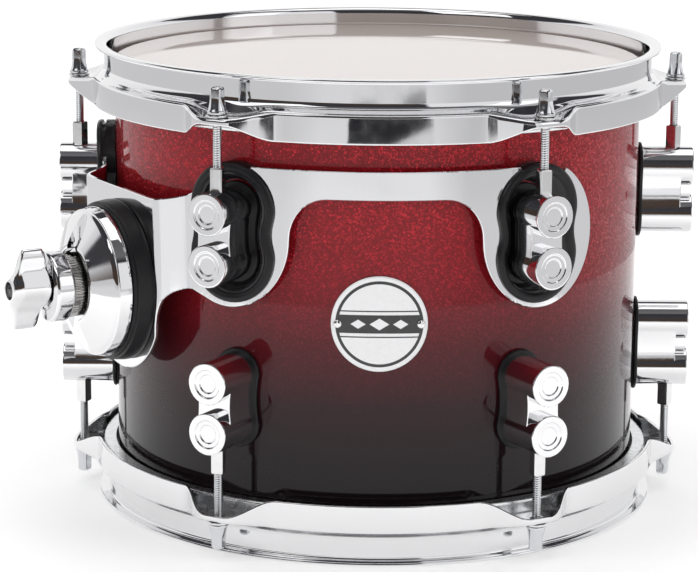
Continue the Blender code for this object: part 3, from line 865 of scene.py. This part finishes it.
def spaced(points, step):
    """The closed outline with its corners eased and its points about step apart."""
    eased = rounded([(x, y, 0.8) for x, y in points], 1, hold=0)
    out = []
    for i, (x, y) in enumerate(eased):
        nx, ny = eased[(i + 1) % len(eased)]
        length = math.hypot(nx - x, ny - y)
        for k in range(max(1, round(length / step))):
            share = k / max(1, round(length / step))
            out.append((x + (nx - x) * share, y + (ny - y) * share))
    return out


def inset(points, distance):
    """The clockwise or anticlockwise outline moved inwards by a distance, point by point."""
    area = sum(x0 * y1 - x1 * y0 for (x0, y0), (x1, y1) in zip(points, points[1:] + points[:1]))
    sign = 1 if area > 0 else -1
    out = []
    for i, (x, y) in enumerate(points):
        (x0, y0), (x1, y1) = points[i - 1], points[(i + 1) % len(points)]
        dx, dy = x1 - x0, y1 - y0
        length = math.hypot(dx, dy) or 1.0
        out.append((x - sign * dy / length * distance, y + sign * dx / length * distance))
    return out


def plate_front(azimuth):
    """Radius of the plate's front face: round the shell, and flat where the bracket's cushion sits."""
    off = abs(azimuth - BRACKET_AZIMUTH)
    flat = PAD_FACE / math.cos(math.radians(min(off, PAD_HALF_ANGLE)))
    return PLATE_R + (flat - PLATE_R) * (1 - smooth_step(PAD_HALF_ANGLE, PAD_HALF_ANGLE + PAD_BLEND, off))


def bend(bm, outer):
    """Wraps a flat body round the shell: x runs round it, y from 0 at the back face to 1 at the front."""
    for vert in bm.verts:
        azimuth = math.degrees(vert.co.x / PLATE_R)
        radius, thick = outer(azimuth)
        vert.co = around(azimuth, radius - thick * (1 - vert.co.y), vert.co.z)
    return bm


def flat_body(rows, first, last, step):
    """A flat slab through (outline, y) rows, cut across every step so that it can be bent."""
    bm = loft([[(u, y, z) for u, z in outline] for outline, y in rows])
    at = first
    while at < last:
        geometry = [*bm.verts, *bm.edges, *bm.faces]
        bmesh.ops.bisect_plane(bm, geom=geometry, plane_co=(at, 0, 0), plane_no=(1, 0, 0), dist=0.02)
        at += step
    bmesh.ops.triangulate(bm, faces=[face for face in bm.faces if len(face.verts) > 4])
    return bm


def build_plate(look):
    outline = plate_outline()
    inner = inset(outline, 0.35)
    rows = ((inner, 0.0), (outline, 0.15), (outline, 0.8), (inner, 1.0))
    slab = flat_body(rows, plate_u(-103), plate_u(47), plate_u(1.25))
    bent = bend(slab, lambda azimuth: (plate_front(azimuth), PLATE_THICK))
    mesh = mesh_of(bent, "mount_plate", look, angle=24)
    show("mount_plate", mesh, "drum", ["suspension_plate"])


def grommet_loop(azimuth, radius, shift, spread, reach):
    """A slot outline with round ends and a waist, wrapped round the shell at radius reach."""
    flat = []
    for side, start in ((1, 0), (-1, 180)):
        flat += arc((shift, GROMMET_HEIGHT + side * spread), (radius, radius), start, start + 180, 26)
        flat += waist(shift, radius, spread, side)
    return [around(azimuth + math.degrees(u / PLATE_R), reach, z) for u, z in flat]


def build_grommets(lip_look, gloss_look):
    back, front = PLATE_R - PLATE_THICK - 0.15, PLATE_R + 0.1
    places = (
        ("grommet_right", PLATE_TURN + GROMMET_AZIMUTH, 30),
        ("grommet_left", PLATE_TURN - GROMMET_AZIMUTH, -30),
        ("grommet_side", 2 * BRACKET_AZIMUTH - PLATE_TURN + GROMMET_AZIMUTH, -90),
    )
    for name, azimuth, lug in places:
        shift = math.radians(lug - azimuth) * PLATE_R
        lip = GROMMET_R + GROMMET_LIP
        tip = GROMMET_TIP
        rows = (
            (lip, 0, LUG_FOOT),
            (lip, 0, back),
            (GROMMET_R, 0, back),
            (GROMMET_R, 0, front),
            (lip - 0.1, 0, front),
            (lip, 0, front + 0.5),
            (lip - 0.3, 0, tip - 0.7),
            (lip - 1.0, 0, tip - 0.2),
            (lip - 2.2, 0, tip),
            (lip - 3.4, 0.1, tip - 0.25),
            (lip - 4.2, 0.15, tip - 0.9),
            (lip - 4.5, 0.15, tip - 1.7),
            (lip - 4.9, 0.2, tip - 2.0),
            (lip - 5.8, 0.3, tip - 2.2),
            (lip - 6.2, 0.4, tip - 3.0),
            (GROMMET_THROAT + 1.6, 0.75, LUG_FOOT + 4.4),
            (GROMMET_THROAT + 1.1, 0.8, LUG_FOOT + 4.2),
            (GROMMET_THROAT + 0.2, 1.0, LUG_FOOT + 2.0),
            (GROMMET_THROAT - 0.2, 1.0, LUG_FOOT + 1.0),
            # The last two rows draw the rubber in past the throat onto the shell: a dark lip that fills the gap by
            # the lug's gasket where shade falls, so it is partly painted shade.
            (GROMMET_THROAT - 0.9, 1.0, LUG_FOOT + 0.7),
            (GROMMET_THROAT - 0.9, 1.0, LUG_FOOT),
        )
        loops = []
        for radius, share, reach in rows:
            spread = GROMMET_SPREAD + (TURRET_SPREAD - GROMMET_SPREAD) * share
            loops.append(grommet_loop(azimuth, radius, share * shift, spread, reach))
        mesh = mesh_of(loft(loops, wrap=True), name, lip_look, gloss_look, angle=50)
        limit = (tip - 1.2) * MM
        for face in mesh.polygons:
            reach = math.hypot(face.center.x, face.center.y)
            inside = face.normal.dot(Vector((face.center.x, face.center.y, 0)).normalized()) > -0.95
            face.material_index = 1 if reach < limit and inside else 0
        show(name.replace("grommet", "rubber_mount"), mesh, "drum", [name], flat=False)


# ---------------------------------------------------------------- bracket and wing nut


def on_bracket(name, mesh, body, nodes=()):
    turn = (0, 0, math.radians(BRACKET_AZIMUTH))
    return show(name, mesh, body, nodes, (0, 0, BRACKET_HEIGHT), turn)


def wedge(low, high, depth_low, depth_high, half):
    """A prism with a sharp inner edge, for the notch where the holder's rod enters the housing."""
    bm = bmesh.new()
    near = [bm.verts.new(p) for p in ((-half, -depth_high, low), (half, -depth_high, low), (0, -depth_low, low))]
    far = [bm.verts.new(p) for p in ((-half, -depth_high, high), (half, -depth_high, high), (0, -depth_low, high))]
    bm.faces.new(near)
    bm.faces.new(far)
    for i in range(3):
        k = (i + 1) % 3
        bm.faces.new((near[i], near[k], far[k], far[i]))
    return bm


def build_bracket(chrome, dark, neck, rubber):
    back = PAD_FACE + 0.1
    cushion = rounded(
        (
            (12.0, back, 0.3),
            (CUSHION_R - 0.3, back, 0.6),
            (CUSHION_R, back + 1.8, 1.6),
            (HOUSING_R + 1.9, CUSHION_FACE - 1.5, 1.1),
            (HOUSING_R + 0.9, CUSHION_FACE - 1.4, 0.15),
            (HOUSING_R + 0.7, CUSHION_FACE, 0.3),
            (12.0, CUSHION_FACE, 0.3),
        ),
        6,
    )
    mesh = mesh_of(revolve(cushion, 96, radial=True), "cushion", rubber)
    on_bracket("rubber_cushion", mesh, "drum", ["bracket_cushion"])
    hole = 16.8
    housing = rounded(
        (
            (0, HOUSING_BACK, 0),
            (HOUSING_R, HOUSING_BACK, 0.5),
            (HOUSING_R, HOUSING_BACK + 1.6, 0.8),
            (HOUSING_R - 1.0, HOUSING_BACK + 6.0, 0.35),
            (HOUSING_R - 1.7, HOUSING_BACK + 6.1, 0.3),
            (HOUSING_R - 2.9, HOUSING_BACK + 7.2, 2.0),
            (hole + 1.6, MOUTH_FACE, 0.8),
            (hole, MOUTH_FACE, 0.6),
            (hole - 0.2, 158.8, 0.3),
            (BARREL_R + 0.4, 158.0, 0.2),
            (BARREL_R + 0.4, HOUSING_BACK + 1.6, 0),
            (0, HOUSING_BACK + 1.6, 0),
        ),
        4,
    )
    housing = [(max(0.0, radius), height) for radius, height in housing]
    passage = moved(cylinder(PASSAGE_R, -60, 60, 40), (0, -ROD_PASSAGE, 0))
    tools = [
        (passage, "DIFFERENCE"),
        (wedge(7.0, 40.0, 154.8, 172.0, 8.6), "DIFFERENCE"),
        (wedge(-40.0, -7.0, 158.0, 172.0, 6.0), "DIFFERENCE"),
    ]
    mesh = combined(revolve(housing, 120, radial=True), tools, "housing", chrome, angle=35)
    on_bracket("clamp_housing", mesh, "drum", ["bracket_housing"])
    barrel_back = HOUSING_BACK + 4.1
    eyebolt = rounded(
        (
            (0, barrel_back, 0),
            (BARREL_R, barrel_back, 0.8),
            (BARREL_R, NECK_FACE + 0.4, 0.5),
            (STUD_R, NECK_FACE + 0.4, 0.3),
            (STUD_R, WING_TIP - 3.8, 0.6),
            (0, WING_TIP - 3.8, 0),
        ),
        3,
        closed=False,
    )
    eye = moved(cylinder(PASSAGE_R, -30, 30, 40), (0, -ROD_PASSAGE, 0))
    mesh = combined(revolve(eyebolt, 64, radial=True), [(eye, "DIFFERENCE")], "eyebolt", dark, angle=35)
    on_bracket("clamp_eyebolt", mesh, "eyebolt", ["bracket_eyebolt"])
    way = moved(cylinder(PASSAGE_R, -60, 60, 40), (0, -ROD_PASSAGE, 0))
    mesh = combined(toothed_ring(), [(way, "DIFFERENCE")], "toothed_neck", neck)
    on_bracket("toothed_neck", mesh, "drum")
    collar = rounded(
        (
            (BARREL_R + 0.4, COLLAR_BACK - 0.1, 0.2),
            (16.3, COLLAR_BACK - 0.1, 0.5),
            (16.4, COLLAR_FACE - 1.0, 0.5),
            (15.4, COLLAR_FACE - 0.05, 0.4),
            (10.6, COLLAR_FACE - 0.05, 0.3),
            (10.2, COLLAR_FACE - 0.7, 0.3),
            (STUD_R + 0.4, COLLAR_FACE - 0.7, 0.2),
            (STUD_R + 0.4, COLLAR_BACK + 0.6, 0.2),
            (BARREL_R + 0.4, COLLAR_BACK + 0.6, 0.2),
        )
    )
    mesh = mesh_of(revolve(collar, 96, radial=True), "collar", chrome)
    on_bracket("clamp_collar", mesh, "drum", ["bracket_collar"])


def toothed_ring():
    """The ring of locking teeth seen in the gap between the housing's mouth and the collar."""
    teeth = 60
    loops = []
    for radius, depth, cut in ((12.9, 158.4, 0), (14.9, 158.4, 1), (14.9, 167.6, 1), (14.5, 168.0, 1), (12.9, 168.0, 0)):
        loop = []
        for i in range(teeth * 4):
            low = cut * 0.55 * (1 if i % 4 in (0, 1) else 0)
            angle = 2 * math.pi * i / (teeth * 4)
            loop.append(((radius - low) * math.cos(angle), -depth, (radius - low) * math.sin(angle)))
        loops.append(loop)
    return loft(loops, wrap=True)


def wing_section(depth, hub, wing, thick):
    """One section across the nut's axis: a round hub that flows into a wing above and below."""
    count = 22
    upper = []
    for i in range(count + 1):
        z = wing * math.cos(math.pi * i / count)
        round_part = hub * max(0.0, 1 - (z / (1.5 * hub)) ** 2) ** 1.5
        near_tip = max(0.0, 1 - (abs(z) / wing) ** 6)
        flat_part = thick * math.sqrt(near_tip)
        half = (round_part**3 + flat_part**3) ** (1 / 3)
        upper.append((half, z))
    loop = upper + [(-half, z) for half, z in reversed(upper[1:-1])]
    return [(x + 2.0 * math.tanh(z / 5), -depth, z) for x, z in loop]


def build_wing_nut(look):
    foot, tip = WING_FOOT, WING_TIP
    stations = (
        (foot, 8.6, 8.7, 2.6),
        (foot + 0.3, 9.1, 9.2, 2.7),
        (foot + 0.7, 9.1, 11.0, 2.8),
        (foot + 1.1, 9.0, 14.6, 2.9),
        (foot + 1.5, 8.9, 17.2, 2.9),
        (foot + 2.0, 8.8, 19.0, 2.9),
        (foot + 2.7, 8.7, 20.0, 2.9),
        (foot + 4.0, 8.5, 20.4, 2.9),
        (tip - 5.0, 7.9, 20.4, 2.8),
        (tip - 4.2, 7.7, 20.0, 2.8),
        (tip - 3.7, 7.5, 18.9, 2.8),
        (tip - 3.2, 7.3, 16.6, 2.7),
        (tip - 2.7, 7.1, 13.8, 2.7),
        (tip - 2.2, 6.8, 11.4, 2.6),
        (tip - 1.5, 6.5, 9.0, 2.6),
        (tip - 0.8, 6.1, 7.2, 2.5),
        (tip - 0.2, 5.7, 6.0, 2.4),
        (tip, 5.2, 5.3, 2.3),
    )
    body = loft([wing_section(*station) for station in stations])
    lean = Matrix.Rotation(math.radians(WING_LEAN), 3, "Y")
    bmesh.ops.rotate(body, cent=(0, 0, 0), matrix=lean, verts=body.verts)
    bore = cylinder(STUD_R + 0.3, foot - 2, tip + 2, 40, radial=True)
    mesh = combined(body, [(bore, "DIFFERENCE")], "wing_nut", look, angle=48)
    on_bracket("clamp_wing_nut", mesh, "wing_nut", ["wing_nut"])


# ---------------------------------------------------------------- badge


def build_badge(face, screw):
    radius = LUG_FOOT + BADGE_THICK
    outline = arc((0, 0), (BADGE_R, BADGE_R), 0, 357, 119)
    small = arc((0, 0), (BADGE_R - 0.5, BADGE_R - 0.5), 0, 357, 119)
    slab = flat_body(((outline, 0.05), (outline, 0.7), (small, 1.0)), -BADGE_R + 0.9, BADGE_R, 1.1)
    for vert in slab.verts:
        vert.co.x *= PLATE_R / radius
    bent = bend(slab, lambda azimuth: (radius, BADGE_THICK))
    mesh = mesh_of(bent, "badge_disc", face, angle=24)
    show("badge_disc", mesh, "drum", ["badge"])
    foot = radius + 0.05
    head = rounded(
        ((0, foot, 0), (1.95, foot, 0.1), (1.85, foot + 0.75, 0.45), (1.0, foot + 1.1, 0.6), (0, foot + 1.15, 0)),
        3,
        closed=False,
    )
    slot = bmesh.new()
    bmesh.ops.create_cube(slot, size=1.0)
    bmesh.ops.scale(slot, vec=(0.42, 1.0, 5.0), verts=slot.verts)
    moved(slot, (0, -(foot + 1.15), 0))
    mesh = combined(revolve(head, 32, radial=True), [(slot, "DIFFERENCE")], "badge_pin", screw)
    for name, side in (("badge_screw_left", -1), ("badge_screw_right", 1)):
        turn = (0, 0, side * BADGE_SCREW / radius)
        show(name.replace("screw", "pin"), mesh, "drum", [name], turn=turn)


# ---------------------------------------------------------------- stage, light, camera


def backdrop_look():
    """Pale paper with painted light: it glows, weakly near the drum and more strongly away from it."""
    look = Look("pale_paper_painted_glow", (0.93, 0.93, 0.93), 0.75)
    look.shader.inputs["Specular IOR Level"].default_value = 0.1
    look.shader.inputs["Emission Color"].default_value = (1, 1, 1, 1)
    fibre = look.noise(14, 4, 0.6)
    look.feed("Base Color", look.mix(fibre, (0.945, 0.945, 0.945), (0.925, 0.925, 0.925)))
    look.feed("Normal", look.bump(look.noise(500, 3, 0.6), 0.05, 0.0001))
    # Painted light: emission strength 0.3 near the drum, rising to 0.46 farther out.
    away = look.node("VectorMath", {0: look.place}, operation="LENGTH").outputs["Value"]
    look.feed("Emission Strength", look.span(away, 0.14, 0.45, 0.3, 0.46))
    return look.made


def build_stage():
    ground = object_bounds()[0].z
    mesh = bpy.data.meshes.new("floor")
    bm = bmesh.new()
    bmesh.ops.create_grid(bm, x_segments=8, y_segments=8, size=6.0)
    bm.to_mesh(mesh)
    bm.free()
    mesh.materials.append(backdrop_look())
    floor = bpy.data.objects.new("floor", mesh)
    floor.location = (0, 0, ground)
    bpy.context.scene.collection.objects.link(floor)
    floor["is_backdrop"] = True
    return ground


def reflected(name, bm, look, at):
    """A glowing surface that shows only in the drum's reflections: a painted reflection, not a lamp."""
    mesh = bpy.data.meshes.new(name)
    bm.to_mesh(mesh)
    bm.free()
    mesh.materials.append(look.made)
    made = bpy.data.objects.new(name, mesh)
    made.location = at
    made.visible_camera = False
    made.visible_diffuse = False
    made.visible_shadow = False
    made.visible_transmission = False
    bpy.context.scene.collection.objects.link(made)
    made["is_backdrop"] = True


def glow_look(name):
    look = Look(name, (0, 0, 0), 1.0)
    look.shader.inputs["Specular IOR Level"].default_value = 0.0
    look.shader.inputs["Emission Strength"].default_value = 1.0
    return look


def painted_dome_look():
    """Painted reflections on a glowing dome: dark above and in front, white behind, with a painted dark brown
    patch low in front and a painted bright patch on the right front.
    """
    look = glow_look("painted_reflection_dome")
    unit = look.node("VectorMath", {0: look.place}, operation="NORMALIZE").outputs["Vector"]
    parts = look.node("SeparateXYZ", {"Vector": unit})
    up, back = parts.outputs["Z"], parts.outputs["Y"]
    rear = look.maths("MULTIPLY", look.maths("MAXIMUM", back, -0.3), 0.6)
    rise = look.maths("SUBTRACT", up, look.maths("ADD", rear, 0.24))
    shade = look.ramp(
        look.span(rise, -0.5, 1.0),
        (0.0, (1.0, 1.0, 1.0)),
        (0.26, (0.92, 0.92, 0.93)),
        (0.325, (0.70, 0.70, 0.71)),
        (0.34, (0.05, 0.05, 0.055)),
        (0.7, (0.035, 0.035, 0.04)),
        (0.76, (0.16, 0.16, 0.165)),
        (1.0, (0.10, 0.10, 0.105)),
    )
    # Painted reflection: a dark brown patch low in front, away from the right side.
    ahead = look.span(back, -0.35, -0.25, 1.0, 0.0)
    painted_dim_reflection = look.maths("MULTIPLY", ahead, look.span(up, 0.17, 0.2, 1.0, 0.0))
    painted_dim_reflection = look.maths("MULTIPLY", painted_dim_reflection, look.span(parts.outputs["X"], 0.27, 0.3, 1.0, 0.0))
    # Painted highlight: a bright patch in front on the right, below mid-height.
    painted_bright_patch = look.maths("MULTIPLY", ahead, look.span(up, 0.55, 0.58, 1.0, 0.0))
    painted_bright_patch = look.maths("MULTIPLY", painted_bright_patch, look.span(parts.outputs["X"], 0.3, 0.33))
    # Painted reflection colours: dark brown in the low front patch, near-white in the bright patch.
    shade = look.mix(painted_dim_reflection, shade, (0.06, 0.04, 0.03))
    look.feed("Emission Color", look.mix(painted_bright_patch, shade, (0.9, 0.9, 0.91)))
    return look


def painted_ring_look():
    """A glowing ring of painted reflections round the drum, seen only in the chrome: paler near the drum, palest
    in front and behind, with a painted dark strip in front.
    """
    look = glow_look("painted_reflection_ring")
    parts = look.node("SeparateXYZ", {"Vector": look.place})
    away = look.node("VectorMath", {0: look.place}, operation="LENGTH").outputs["Value"]
    aside = look.maths("DIVIDE", parts.outputs["X"], away)
    # Painted reflection tones by direction: palest in front and behind, darker to the left and right.
    painted_dim_reflection = look.ramp(
        look.span(aside, -1.0, 1.0),
        (0.0, (0.80, 0.80, 0.81)),
        (0.2, (0.80, 0.80, 0.81)),
        (0.32, (0.97, 0.97, 0.98)),
        (0.66, (0.97, 0.97, 0.98)),
        (0.78, (0.72, 0.72, 0.73)),
        (1.0, (0.72, 0.72, 0.73)),
    )
    # Painted reflection: darker far from the drum.
    painted_falloff = look.span(away, 0.9, 1.35, 0.0, 0.22)
    tone = look.mix(painted_falloff, painted_dim_reflection, (0.2, 0.2, 0.2))
    # Painted reflection: a dark strip on the ring in front of the drum.
    across = look.maths("ABSOLUTE", look.maths("SUBTRACT", parts.outputs["X"], 0.1))
    ahead = look.maths("MULTIPLY", parts.outputs["Y"], -1.0)
    painted_dark_strip = look.maths("MULTIPLY", look.span(across, 0.36, 0.37, 1.0, 0.0), look.span(ahead, 1.22, 1.24))
    painted_dark_strip = look.maths("MULTIPLY", painted_dark_strip, look.span(ahead, 1.44, 1.46, 1.0, 0.0))
    look.feed("Emission Color", look.mix(painted_dark_strip, tone, (0.015, 0.015, 0.018)))
    return look


def build_painted_reflections(ground):
    # Painted reflections: a glowing dome and a glowing ring round the drum, seen only in the chrome.
    dome = bmesh.new()
    bmesh.ops.create_uvsphere(dome, u_segments=64, v_segments=48, radius=2.7)
    low = [vert for vert in dome.verts if vert.co.z < ground - 0.2]
    bmesh.ops.delete(dome, geom=low, context="VERTS")
    reflected("painted_reflection_dome", dome, painted_dome_look(), (0, 0, 0))
    table = revolve(((0.62, 0.0), (2.6, 0.0), (2.6, -0.002), (0.62, -0.002)), 96)
    reflected("painted_reflection_ring", table, painted_ring_look(), (0, 0, ground + 0.004))


def softbox(name, size, at, power, aim=(0, 0, -0.1)):
    light = bpy.data.lights.new(name, "AREA")
    light.shape = "RECTANGLE"
    light.size, light.size_y = size
    light.energy = power
    made = bpy.data.objects.new(name, light)
    made.location = at
    made.rotation_euler = (Vector(aim) - Vector(at)).to_track_quat("-Z", "Y").to_euler()
    bpy.context.scene.collection.objects.link(made)
    return made


def build_light(ground):
    world = bpy.data.worlds.new("studio")
    bpy.context.scene.world = world
    world.use_nodes = True
    tree = world.node_tree
    sky = tree.nodes["Background"]
    where = tree.nodes.new("ShaderNodeTexCoord")
    parts = tree.nodes.new("ShaderNodeSeparateXYZ")
    ramp = tree.nodes.new("ShaderNodeValToRGB")
    lift = tree.nodes.new("ShaderNodeMapRange")
    tree.links.new(where.outputs["Generated"], parts.inputs[0])
    tree.links.new(parts.outputs["Z"], lift.inputs["Value"])
    lift.inputs["From Min"].default_value = -1.0
    tree.links.new(lift.outputs["Result"], ramp.inputs["Fac"])
    tree.links.new(ramp.outputs["Color"], sky.inputs["Color"])
    stops = ((0.0, 0.9), (0.5, 1.0), (0.62, 0.85), (0.8, 0.55), (1.0, 0.45))
    while len(ramp.color_ramp.elements) < len(stops):
        ramp.color_ramp.elements.new(0.5)
    for element, (position, level) in zip(ramp.color_ramp.elements, stops):
        element.position = position
        element.color = (level, level, level, 1)
    sky.inputs["Strength"].default_value = 1.0
    softbox("key", (1.3, 1.0), (-1.3, -1.1, 1.3), 5.5)
    softbox("fill", (0.9, 1.2), (1.5, -0.8, 0.8), 1.5)
    softbox("top", (1.5, 1.5), (0.0, 0.2, 1.8), 11)
    build_painted_reflections(ground)


def build_camera():
    """A long lens in front of the badge, a little above the drum."""
    at = Vector((-19.65, -1311.7, 281.7)) * MM + Vector((0, 0, MID))
    yaw, pitch, roll = (math.radians(angle) for angle in (0.29, 12.583, 0.42))
    ahead = Vector((math.sin(yaw) * math.cos(pitch), math.cos(yaw) * math.cos(pitch), -math.sin(pitch)))
    right = ahead.cross(Vector((0, 0, 1))).normalized()
    up = right.cross(ahead)
    right, up = right * math.cos(roll) + up * math.sin(roll), up * math.cos(roll) - right * math.sin(roll)
    data = bpy.data.cameras.new("camera")
    data.sensor_width = 36.0
    data.lens = 141.03
    data.clip_start, data.clip_end = 0.05, 50
    camera = bpy.data.objects.new("camera", data)
    turn = Matrix((right, up, -ahead)).transposed()
    camera.matrix_world = Matrix.Translation(at) @ turn.to_4x4()
    bpy.context.scene.collection.objects.link(camera)
    bpy.context.scene.camera = camera


def main():
    chrome = chrome_look()
    lug_chrome = chrome_look("cast_chrome", (0.84, 0.84, 0.85), 0.05, 0.14, 0.25)
    zinc = steel_look("zinc_plate", (0.72, 0.73, 0.75), 0.13)
    nickel = steel_look("nickel_plate", (0.80, 0.80, 0.80), 0.14)
    aluminium = steel_look("rolled_aluminium", (0.80, 0.81, 0.82), 0.26, 500)
    dark = steel_look("dark_steel", (0.2, 0.195, 0.19), 0.3)
    rubber = rubber_look("matte_rubber", 0.38, (0.006, 0.006, 0.007))
    gloss_rubber = rubber_look("gloss_rubber", 0.16, (0.012, 0.012, 0.013))
    build_shell(lacquer_look(), maple_look())
    build_heads(film_look(), clear_film_look(), aluminium)
    build_hoops(chrome)
    build_lugs(lug_chrome, rubber, nickel)
    build_rods(zinc, nickel)
    build_plate(chrome)
    build_grommets(rubber, gloss_rubber)
    neck = steel_look("neck_steel", (0.42, 0.41, 0.40), 0.14)
    build_bracket(chrome, dark, neck, rubber)
    build_wing_nut(lug_chrome)
    build_badge(badge_look(), nickel)
    ground = build_stage()
    build_light(ground)
    build_camera()
    bpy.context.scene.view_settings.view_transform = "Standard"


main()
